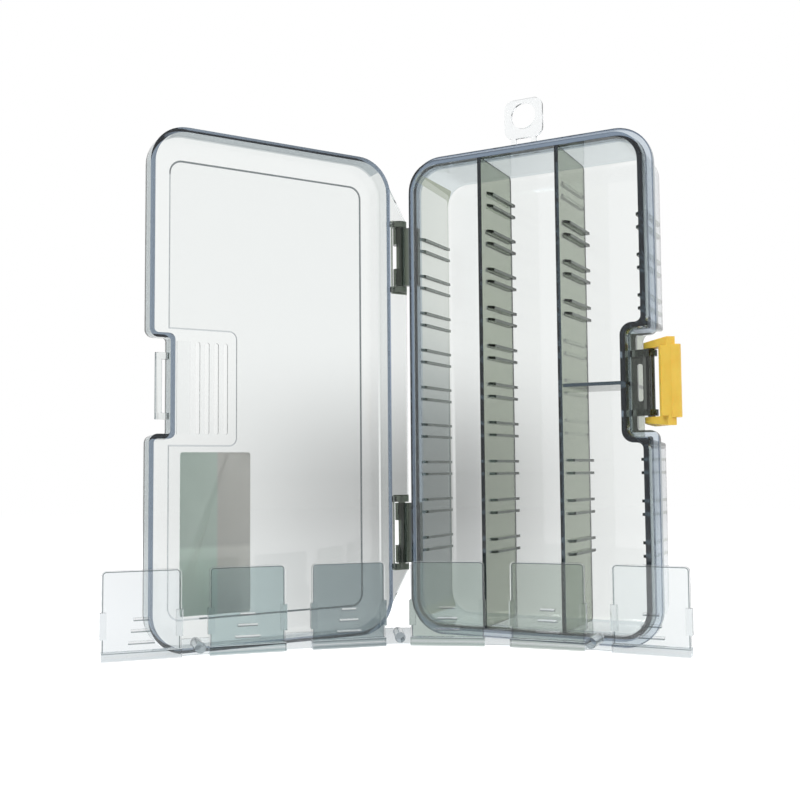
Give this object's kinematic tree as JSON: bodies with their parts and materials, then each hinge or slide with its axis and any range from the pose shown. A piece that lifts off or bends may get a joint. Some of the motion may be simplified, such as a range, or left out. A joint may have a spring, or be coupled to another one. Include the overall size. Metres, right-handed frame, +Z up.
{
  "type": "worm box",
  "caption": "Clear smoke-grey tackle case for soft baits, standing open on one end, with long lanes, a swing latch, a hang tab and a joined strip of divider plates in front.",
  "frame": {"origin": "middle of the tray flange's lower end face, which the case stands on", "axes": "+X across the tray from the hinge side to the latch side, +Y from the open face into the tray, +Z up"},
  "size_m": [0.1519, 0.1137, 0.176],
  "materials": {
    "smoke_case": "clear smoke-grey, glossy",
    "yellow_latch": "satin",
    "clear_tab": "clear, glossy",
    "label_film": "printed film, satin",
    "divider_clear": "clear, glossy"
  },
  "bodies": {
    "case": {"tray": "smoke_case", "hang_tab": "clear_tab"},
    "lid": {"lid": "smoke_case", "label": "label_film"},
    "latch": {"latch": "yellow_latch"},
    "divider_strip": {"divider_1": "divider_clear", "divider_2": "divider_clear", "divider_3": "divider_clear", "divider_4": "divider_clear", "divider_5": "divider_clear", "divider_6": "divider_clear", "runner_1": "divider_clear", "runner_2": "divider_clear", "runner_3": "divider_clear", "runner_4": "divider_clear", "runner_5": "divider_clear"}
  },
  "joints": [
    {"name": "lid_hinge", "type": "hinge", "parent": "case", "child": "lid", "pos_m": [-0.0461, -0.0011, 0.0805], "axis": [0, 0, 1], "range_deg": [0, 120]},
    {"name": "latch_pivot", "type": "hinge", "parent": "case", "child": "latch", "pos_m": [0.0395, 0.0024, 0.0805], "axis": [0, 0, 1], "range_deg": [-35, 65]},
    {"name": "strip_slide", "type": "slide", "parent": "case", "child": "divider_strip", "axis": [0.5, -0.866, 0], "range_m": [0, 0.21]}
  ],
  "couplings": [
    {"joint": "strip_slide", "follows": "lid_hinge", "m_per_rad": 0.1}
  ]
}
